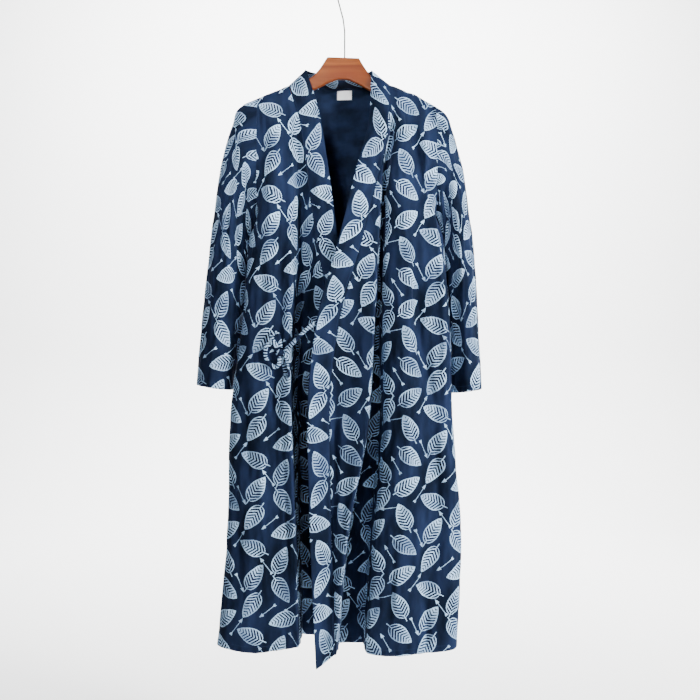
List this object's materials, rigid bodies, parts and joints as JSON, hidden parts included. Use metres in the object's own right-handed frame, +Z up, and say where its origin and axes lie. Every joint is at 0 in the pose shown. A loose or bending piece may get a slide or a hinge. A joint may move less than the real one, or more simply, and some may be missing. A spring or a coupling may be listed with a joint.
{
  "type": "lounge robe on a clothes hanger",
  "caption": "Long-sleeved wrap-front cotton robe with a leaf print and a tied bow, hung on a wooden hanger with a wire hook.",
  "frame": {"origin": "inner top of the wire hook, where a rail holds the hanger", "axes": "+Z up; +X to the right of someone who faces the robe; the robe's front faces -Y"},
  "size_m": [0.5877, 0.1454, 1.403],
  "materials": {
    "printed_cloth": "navy cotton with a white leaf and arrow print",
    "label_cloth": "white woven label, blank",
    "hanger_wood": "orange-brown, satin varnish",
    "hook_wire": "dark drawn wire"
  },
  "bodies": {
    "root": {"back": "printed_cloth", "front_under": "printed_cloth", "front_over": "printed_cloth", "sleeve_left": "printed_cloth", "sleeve_right": "printed_cloth", "neckband": "printed_cloth", "tie_strap": "printed_cloth", "tie_knot": "printed_cloth", "tie_loop_side": "printed_cloth", "tie_loop_top": "printed_cloth", "tie_tail_left": "printed_cloth", "tie_tail_right": "printed_cloth", "neck_label": "label_cloth", "hanger_wood": "hanger_wood", "hanger_hook": "hook_wire"}
  },
  "joints": []
}
